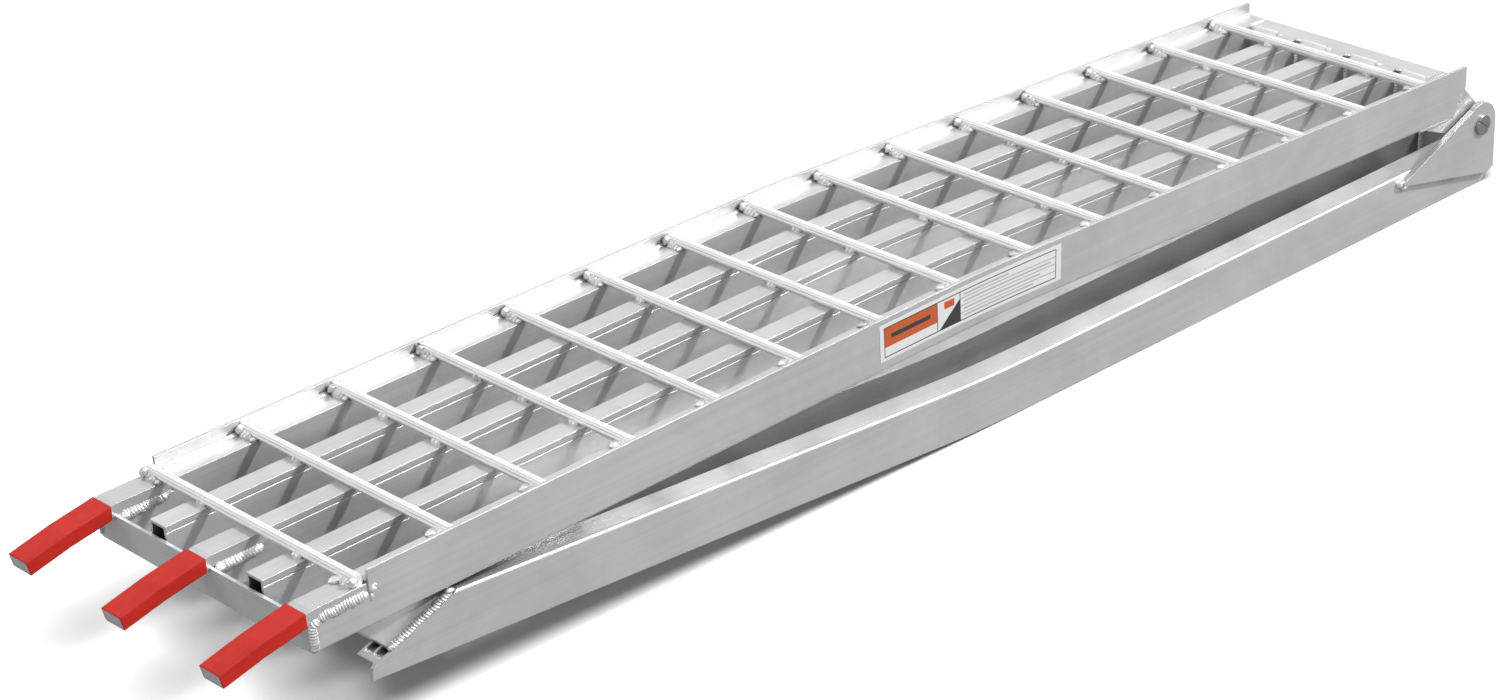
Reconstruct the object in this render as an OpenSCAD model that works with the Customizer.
// Folding loading ramp: two arched ladder halves that fold bottom to bottom on one hinge.
// Units are millimetres. The folded ramp lies on the floor, deck side of the lower half down.
// +X runs from the finger end to the hinge end, +Z is up, the right-hand rail is on -Y.
// Each half is drawn in its own half frame: the hinge pin is the Y axis, x is the distance from
// the pin towards the free end, and z points out of the deck.

/* [Overall] */
// Width over the two side rails
ramp_width = 285; // [250:1:360]
// Distance from the hinge pin to the plane of the rail lips
pin_to_lip = 68; // [66:0.5:80]
// Angle between the two halves at the hinge when folded
fold_gap = 1.8; // [1.6:0.1:3]

/* [Side rails] */
// Height of a side rail from its flat bottom to the top of its lip
rail_height = 50.8; // [48:0.1:52]
// Height of the lip above the ledge that carries the rungs
lip_height = 12.7; // [11:0.1:14]
// Width of the two-cell box of a side rail
rail_width = 26; // [24:0.5:30]
// Thickness of the outer web and lip
web_thickness = 3; // [2.6:0.1:3]
// Thickness of the other rail walls
rail_wall = 2.6; // [2:0.1:3]
// Radius of the bottom outer corner of a rail
rail_corner = 3; // [1:0.5:4]
// Radius of the fillet between ledge and lip
lip_fillet = 3; // [1:0.5:3]

/* [Arch] */
// Distance along the half from the hinge pin to the middle of its bend
bend_at = 736; // [700:1:760]
// Length of the bent stretch
bend_run = 134; // [80:1:180]
// Bend of the upper half
upper_bend = 2.7; // [2:0.1:2.9]
// Bend of the lower half
lower_bend = 3.9; // [3.8:0.1:4]
// Distance along the upper half from the hinge pin to the finger end of its rails
upper_length = 1503; // [1500:1:1520]
// Distance along the lower half from the hinge pin to the tip of its rails
lower_length = 1451; // [1440:1:1456]

/* [Runners and rungs] */
// Width of an inner runner tube
runner_width = 21; // [18:0.5:25]
// Wall of an inner runner tube
runner_wall = 2.4; // [2:0.1:3]
// Distance between rung centres
rung_pitch = 98; // [95:0.5:98]
// Distance from the hinge pin to the nearest rung
first_rung = 82.5; // [70:0.5:84]
// Height of a rung, which is also its width
rung_size = 9.8; // [8:0.1:11]
// Number of rungs on the upper half
upper_rungs = 15; // [15:1:15]
// Number of rungs on the lower half
lower_rungs = 14; // [14:1:14]

/* [Fingers] */
// Width of a finger bar
finger_width = 23.6; // [20:0.1:24]
// Thickness of a finger bar
finger_thickness = 10.6; // [8:0.1:11]
// Distance from the hinge pin to the root of a finger bar, under the last rung
finger_root = 1448; // [1445:1:1448]
// Distance from the hinge pin to the first bend of a finger
finger_bend_at = 1503; // [1490:1:1503]
// Downward angle of the first and second bent stretch of a finger
finger_drop = [9.5, 13]; // [5:0.5:20]
// Length of the first and second bent stretch of a finger
finger_run = [51, 42]; // [30:0.5:70]
// Thickness of the coating on a finger
grip_coat = 0.9; // [0.5:0.1:1.5]
// Length of the coated stretch, measured back from the finger tip
grip_length = 86; // [60:1:92]

/* [Cross pieces] */
// Thickness of the finger plate and of the foot plate
plate_thickness = 3.2; // [2:0.1:4]
// Height of the plate under the fingers
finger_plate_height = 27.6; // [24:0.1:27.6]
// Width of the hinge-end crossbar
crossbar_width = 26.8; // [20:0.1:28]
// Wall of the hinge-end crossbar
crossbar_wall = 3.2; // [2:0.1:4]
// Angle of the foot bevel to the bottom of the rail
foot_angle = 24.2; // [22:0.1:26]
// Distance from the hinge pin to the start of the foot bevel
foot_start = 1370; // [1366:1:1372]
// Length of the foot plate down the bevel
foot_plate_run = 69; // [60:1:80]

/* [Hinge] */
// Radius of a hinge pin
pin_radius = 6.35; // [5:0.05:8]
// Radial play of a hinge pin in its plates
pin_play = 0.07; // [0.02:0.01:0.1]
// Thickness of a hinge plate
hinge_plate = 6.3; // [5:0.1:6.4]
// Radius of the lower hinge plate around the pin
lower_eye = 23.5; // [20:0.5:25]
// Radius of the upper hinge plate around the pin
upper_eye = 16.5; // [12:0.5:16.5]
// Radius of the slotted pin head
head_radius = 10.5; // [9:0.5:12]
// Thickness of the pin head
head_thickness = 3.4; // [2:0.1:5]
// Distance from the hinge pin to the end of the upper rails
butt_offset = 23.7; // [22:0.1:26]
// Gap between the two halves when the ramp is open
butt_gap = 0.5; // [0.3:0.1:1]

/* [Label] */
// Distance from the hinge pin to the near and far end of the label
label_span = [641, 878]; // [500:1:1000]
// Height of the label's lower and upper edge above the ledge
label_edges = [-28.5, 7]; // [-34:0.5:11]
// Thickness of the label
label_thickness = 0.3; // [0.2:0.1:0.5]

/* [Hidden] */
half_width = ramp_width / 2;
box_height = rail_height - lip_height;
ledge_z = pin_to_lip - lip_height;
bottom_z = pin_to_lip - rail_height;
runner_y = (half_width - rail_width / 2) / 2;
finger_y = half_width - rail_width / 2;
rung_length = ramp_width - 2 * web_thickness - 0.6;
lower_start = butt_gap - butt_offset;
bend_from = bend_at - bend_run / 2;
bend_to = bend_at + bend_run / 2;
end_bevel = [[butt_offset, 46], [42, bottom_z]];
upper_plate_tail = [94, bottom_z + 0.7];
upper_plate_top = [24.3, 46];
lower_plate_tail = [128, 24];
plate_inner_y = half_width - web_thickness - 0.4;
washer_thickness = 2;
nut_thickness = 9;
slot_angle = -38;
seam_width = 0.2;
seam_depth = 0.06;

// The object's frame has its origin at the middle of the bottom of the folded ramp's box
finger_tip = path_point(upper_length, upper_bend, finger_tip_offset());
pin_x = (rotated(finger_tip, fold_gap).x + lower_eye) / 2 - lower_eye;
pin_z = pin_to_lip;

left = 1;
right = -1;
SIDES = [["left", left], ["right", right]];
LANES = [["left", left], ["middle", 0], ["right", right]];

// ---- geometry helpers ----

// Point p, an x and a z, turned by a towards +z about the hinge pin
function rotated(p, a) = [p.x * cos(a) - p.y * sin(a), p.x * sin(a) + p.y * cos(a)];

// Radius of the bend at ledge height
function bend_radius(bend) = bend_run / (bend * PI / 180);

// Turn of the half at distance s from the pin
function turn(s, bend) = bend * max(0, min(1, (s - bend_from) / bend_run));

// Distance past the nearer end of the bend, negative before it
function past_bend(s) = s < bend_from ? s - bend_from : max(0, s - bend_to);

// The x and z of a point at distance s along the half, moved by offset in the turned frame
function path_point(s, bend, offset) =
    [bend_from, ledge_z - bend_radius(bend)]
    + rotated([past_bend(s) + offset.x, bend_radius(bend) + offset.y], -turn(s, bend));

// Centre line of the top of a finger: x from the rail end and z from the ledge
function finger_top() =
    let (a = finger_drop, r = finger_run, x0 = finger_bend_at - upper_length)
    [
        [finger_root - upper_length, 0],
        [x0, 0],
        [x0 + r[0] * cos(a[0]), -r[0] * sin(a[0])],
        [x0 + r[0] * cos(a[0]) + r[1] * cos(a[1]), -r[0] * sin(a[0]) - r[1] * sin(a[1])]
    ];

// The same line moved out by d, mitred at its two bends
function finger_line(d) =
    let (p = finger_top(), a = finger_drop)
    [
        p[0] + [0, d],
        p[1] + d / cos(a[0] / 2) * [sin(a[0] / 2), cos(a[0] / 2)],
        p[2] + d / cos((a[1] - a[0]) / 2) * [sin((a[0] + a[1]) / 2), cos((a[0] + a[1]) / 2)],
        p[3] + d * [sin(a[1]), cos(a[1])]
    ];

// The outermost corner of a coated finger, from the ledge at the end of the rails
function finger_tip_offset() = finger_line(grip_coat)[3];

// Point a little inside where a line from p touches the circle of radius r about the pin
function touch(p, r, side) =
    let (a = atan2(p.y, p.x) + side * acos(r / norm(p))) 0.96 * r * [cos(a), sin(a)];

// Puts a half-frame shape in place for the upper and the lower half
module place_upper() {
    translate([pin_x, 0, pin_z]) mirror([1, 0, 0]) rotate([0, -fold_gap, 0]) children();
}
module place_lower() {
    translate([pin_x, 0, pin_z]) rotate([0, 180, 0]) children();
}

// Puts children at distance s along a half, z = 0 at ledge height
module along(s, bend) {
    translate([bend_from, 0, ledge_z - bend_radius(bend)])
        rotate([0, turn(s, bend), 0])
            translate([past_bend(s), 0, bend_radius(bend)]) children();
}

// Runs a cross-section, drawn as y and z from the ledge, along a half from one distance to another.
// The stretch after the bend is joined on by an inset core, which leaves a hair line around it.
module swept(from, to, bend) {
    radius = bend_radius(bend);
    lead_in = bend_from - from;
    lead_out = to - bend_to;
    start_turn = turn(from, bend);
    $inset = 0;
    if (lead_in > 0) along(from, bend) rotate([90, 0, 90]) linear_extrude(lead_in) children();
    translate([bend_from, 0, ledge_z - radius])
        rotate([0, start_turn, 0])
            rotate([-90, -90, 0])
                rotate_extrude(angle = turn(to, bend) - start_turn, $fn = 2880)
                    translate([radius, 0]) mirror([1, 0]) rotate(90) children();
    if (lead_out > 0) {
        along(bend_to, bend)
            translate([seam_width, 0, 0])
                rotate([90, 0, 90]) linear_extrude(lead_out - seam_width) children();
        along(bend_to, bend)
            translate([-1, 0, 0])
                rotate([90, 0, 90]) linear_extrude(2 + seam_width) let ($inset = seam_depth) children();
    }
}

// Extrudes an outline drawn in x and z through a width, centred on y
module across(y, width) {
    translate([0, y + width / 2, 0]) rotate([90, 0, 0]) linear_extrude(width) children();
}

// A round bar along Y from y to y + length
module bar_y(radius, y, length, facets = 48) {
    translate([0, y, 0]) rotate([-90, 0, 0]) cylinder(r = radius, h = length, $fn = facets);
}

// ---- cross-sections, y inwards from the outer face and z from the ledge ----

module rail_section() {
    e = $inset;
    cell = (rail_width - web_thickness - 2 * rail_wall) / 2;
    difference() {
        union() {
            translate([e, e - box_height]) square([rail_width - 2 * e, box_height - 2 * e]);
            translate([e, -rail_wall]) square([web_thickness - 2 * e, lip_height + rail_wall - e]);
            if (e == 0)
                difference() {
                    square([web_thickness + lip_fillet, lip_fillet]);
                    translate([web_thickness + lip_fillet, lip_fillet])
                        circle(r = lip_fillet, $fn = 48);
                }
        }
        for (x = [web_thickness, web_thickness + cell + rail_wall])
            translate([x - e, rail_wall - box_height - e])
                square([cell + 2 * e, box_height - 2 * rail_wall + 2 * e]);
        difference() {
            translate([-1, -box_height - 1]) square(rail_corner + 1);
            translate([rail_corner, rail_corner - box_height])
                circle(r = rail_corner - e, $fn = 48);
        }
    }
}

module sided_rail_section(side) {
    translate([side * half_width, 0]) mirror([side > 0 ? 1 : 0, 0]) rail_section();
}

module runner_section() {
    e = $inset;
    groove_depth = 0.5;
    groove_z = -6;
    difference() {
        translate([e - runner_width / 2, e - box_height])
            square([runner_width - 2 * e, box_height - 2 * e]);
        translate([runner_wall - runner_width / 2 - e, runner_wall - box_height - e])
            square([runner_width - 2 * runner_wall + 2 * e, box_height - 2 * runner_wall + 2 * e]);
        for (side = [-1, 1])
            translate([side * runner_width / 2, groove_z])
                square([2 * groove_depth + 2 * e, 1.2 + 2 * e], center = true);
    }
}

// Rung section: a narrow foot, a groove and a ribbed round top
module rung_section() {
    r = rung_size / 2;
    rib_depth = 0.55;
    rib_steps = 12;
    foot = [0.5 * r, 0];
    shoulder = [0.92 * r, 0.72 * r];
    groove = [0.78 * r, 0.86 * r];
    ribs = [
        for (k = [0:rib_steps])
            let (a = 180 * k / rib_steps, d = k % 2 == 0 ? 0 : rib_depth)
            [(r - d) * cos(a), r + (r - d) * sin(a)]
    ];
    polygon(concat(
        [foot, shoulder, groove], ribs,
        [[-groove.x, groove.y], [-shoulder.x, shoulder.y], [-foot.x, foot.y]]
    ));
}

module crossbar_section() {
    difference() {
        square([crossbar_width, box_height]);
        translate([-1, -1]) square([crossbar_width - crossbar_wall + 1, box_height - crossbar_wall + 1]);
        difference() {
            translate([crossbar_width - crossbar_wall, box_height - crossbar_wall])
                square(crossbar_wall + 1);
            translate([crossbar_width - crossbar_wall, box_height - crossbar_wall])
                circle(r = crossbar_wall, $fn = 48);
        }
    }
}

// ---- parts in the half frame ----

module runner(lane, from, to, bend) {
    swept(from, to, bend) translate([lane * runner_y, 0]) runner_section();
}

module rung(s, bend) {
    along(s, bend) across(0, rung_length) rung_section();
}

// Flat-topped angle that joins the ends of the runners at the hinge
module crossbar(from) {
    width = ramp_width - 2 * rail_width;
    translate([from, 0, bottom_z]) across(0, width) crossbar_section();
}

// Space of the finger bars, with clear air above them
module finger_notch() {
    along(upper_length, upper_bend)
        translate([finger_root - upper_length, -ramp_width / 2 - 1, -finger_thickness])
            cube([upper_length - finger_root + 1, ramp_width + 2, finger_thickness + rail_height]);
}

module upper_rail(side) {
    difference() {
        swept(butt_offset, upper_length, upper_bend) sided_rail_section(side);
        finger_notch();
        across(0, ramp_width + 2)
            polygon([end_bevel[0] - [5, 0], end_bevel[0], end_bevel[1], end_bevel[1] - [0, 5],
                     [end_bevel[0].x - 5, end_bevel[1].y - 5]]);
        hinge_slot(side, butt_offset - 1, upper_plate_tail.x + 2);
    }
}

// Slot in the bottom wall of a rail for the upper hinge plate
module hinge_slot(side, from, to) {
    width = hinge_plate + 0.7;
    slot_y = side * (half_width - web_thickness - width / 2);
    translate([from, slot_y - width / 2, bottom_z - 1]) cube([to - from, width, rail_wall + 1]);
}

module upper_runner(lane) {
    difference() {
        runner(lane, butt_offset + crossbar_width, upper_length - 2.5, upper_bend);
        if (lane == 0) finger_notch();
    }
}

module finger_outline(d) {
    top = finger_line(d);
    bottom = finger_line(-finger_thickness - d);
    polygon([top[0], top[1], top[2], top[3], bottom[3], bottom[2], bottom[1], bottom[0]]);
}

// Lets the bare end of a finger show through its coating
module finger_mouth() {
    way = [cos(finger_drop[1]), -sin(finger_drop[1])];
    top = finger_line(0)[3];
    bottom = finger_line(-finger_thickness)[3];
    polygon([top - way, top + 2 * way, bottom + 2 * way, bottom - way]);
}

module finger_bar(lane) {
    along(upper_length, upper_bend) across(lane * finger_y, finger_width) finger_outline(0);
}

// Coating on the outer stretch of a finger
module finger_grip(lane) {
    tip = finger_top()[3];
    along(upper_length, upper_bend)
        difference() {
            across(lane * finger_y, finger_width + 2 * grip_coat) finger_outline(grip_coat);
            across(lane * finger_y, finger_width) finger_outline(0);
            across(lane * finger_y, finger_width) finger_mouth();
            translate([tip.x - grip_length * cos(finger_drop[0]) - 200, -half_width - 10, -100])
                cube([200, ramp_width + 20, 200]);
        }
}

// Upright plate across the rail ends, under the fingers
module finger_plate() {
    width = ramp_width - 3;
    along(upper_length, upper_bend)
        difference() {
            translate([0, -width / 2, -box_height]) cube([plate_thickness, width, finger_plate_height]);
            for (lane = [left, 0, right])
                across(lane * finger_y, finger_width) finger_outline(0);
        }
}

// Where the foot bevel starts, x down the bevel and z out of it
module on_bevel() {
    along(foot_start, lower_bend)
        translate([0, 0, -box_height]) rotate([0, -foot_angle, 0]) children();
}

// Everything below the foot plate's inner face
module foot_cut() {
    on_bevel()
        translate([-60, -half_width - 1, plate_thickness - 80]) cube([260, ramp_width + 2, 80]);
}

module foot_plate() {
    on_bevel() translate([0, -half_width, 0]) cube([foot_plate_run, ramp_width, plate_thickness]);
}

module lower_rail(side) {
    lip_corner = 9;
    difference() {
        swept(lower_start, lower_length, lower_bend) sided_rail_section(side);
        foot_cut();
        hinge_slot(side, lower_start - 1, 12);
        across(0, ramp_width + 2)
            translate([lower_start, pin_to_lip])
                polygon([[-1, 1], [lip_corner, 1], [lip_corner, 0], [0, -lip_corner], [-1, -lip_corner]]);
    }
}

module lower_runner(lane) {
    difference() {
        runner(lane, lower_start + crossbar_width, lower_length - 12, lower_bend);
        foot_cut();
    }
}

// Plate welded inside the outer cell of an upper rail, with the eye for the pin
module upper_hinge_plate(side) {
    plate_y = side * (plate_inner_y - hinge_plate / 2);
    difference() {
        across(plate_y, hinge_plate) {
            circle(r = upper_eye, $fn = 96);
            polygon([
                [0, 0], touch(upper_plate_tail, upper_eye, -1), upper_plate_tail,
                [upper_plate_tail.x, upper_plate_top.y], upper_plate_top,
                touch(upper_plate_top, upper_eye, 1)
            ]);
        }
        bar_y(pin_radius + pin_play, plate_y - hinge_plate, 2 * hinge_plate);
    }
}

// Plate welded on the outer face of a lower rail, with the eye for the pin
module lower_hinge_plate(side) {
    plate_y = side * (half_width + hinge_plate / 2);
    difference() {
        across(plate_y, hinge_plate) {
            circle(r = lower_eye, $fn = 96);
            polygon([
                [0, 0], touch(lower_plate_tail, lower_eye, -1), lower_plate_tail,
                [lower_plate_tail.x, lower_plate_tail.y + 3.5], [-14, 57.5], [-lower_eye, 52],
                [-lower_eye, 0]
            ]);
        }
        bar_y(pin_radius + pin_play, plate_y - hinge_plate, 2 * hinge_plate);
    }
}

// Turns a part drawn along +Y on the left side round to the right side
module on_side(side) {
    if (side > 0) children();
    else mirror([0, 1, 0]) children();
}

module hinge_pin(side) {
    shank_from = 119;
    head_from = half_width + hinge_plate;
    on_side(side)
        difference() {
            union() {
                bar_y(pin_radius, shank_from, head_from - shank_from + 0.01);
                bar_y(head_radius, head_from, head_thickness);
            }
            translate([0, head_from + head_thickness, 0])
                rotate([0, -slot_angle, 0]) cube([3 * head_radius, 2.6, 1.8], center = true);
        }
}

module ring_y(outer, y, length, facets = 48) {
    difference() {
        bar_y(outer, y, length, facets);
        bar_y(pin_radius + pin_play, y - 1, length + 2);
    }
}

// Ring that fills the gap between the two plates at each pin
module hinge_spacers() {
    for (s = SIDES) on_side(s[1]) ring_y(14, half_width - web_thickness, web_thickness);
}

module hinge_washers() {
    for (s = SIDES)
        on_side(s[1])
            ring_y(12, plate_inner_y - hinge_plate - 0.4 - washer_thickness, washer_thickness);
}

module hinge_lock_nuts() {
    nut_y = plate_inner_y - hinge_plate - 0.4 - washer_thickness - nut_thickness;
    for (s = SIDES) on_side(s[1]) ring_y(11, nut_y, nut_thickness, 6);
}

// Outline between two heights above the ledge, following the upper half's bend
function band(from, to, low, high, steps = 16) = concat(
    [for (k = [0:steps]) path_point(from + (to - from) * k / steps, upper_bend, [0, low])],
    [for (k = [steps:-1:0]) path_point(from + (to - from) * k / steps, upper_bend, [0, high])]
);

module label() {
    across(-half_width - label_thickness / 2, label_thickness)
        polygon(band(label_span[0], label_span[1], label_edges[0], label_edges[1]));
}

// ---- the parts in place ----

for (s = SIDES) {
    color("silver") place_lower() lower_rail(s[1]);
    color("lightgray") place_lower() lower_hinge_plate(s[1]);
    color("gray") place_lower() hinge_pin(s[1]);
    color("silver") place_upper() upper_rail(s[1]);
    color("lightgray") place_upper() upper_hinge_plate(s[1]);
}
for (l = LANES) {
    color("silver") place_lower() lower_runner(l[1]);
    color("silver") place_upper() upper_runner(l[1]);
    color("silver") place_upper() finger_bar(l[1]);
    color("crimson") place_upper() finger_grip(l[1]);
}
for (i = [1:upper_rungs])
    color("whitesmoke") place_upper() rung(first_rung + (i - 1) * rung_pitch, upper_bend);
for (i = [1:lower_rungs])
    color("whitesmoke") place_lower() rung(first_rung + (i - 1) * rung_pitch, lower_bend);
color("silver") place_lower() foot_plate();
color("silver") place_lower() crossbar(lower_start);  // lower_crossbar
color("silver") place_upper() crossbar(butt_offset);  // upper_crossbar
color("silver") place_upper() finger_plate();
color("dimgray") place_lower() hinge_spacers();
color("dimgray") place_lower() hinge_washers();
color("dimgray") place_lower() hinge_lock_nuts();
color("orange") place_upper() label();
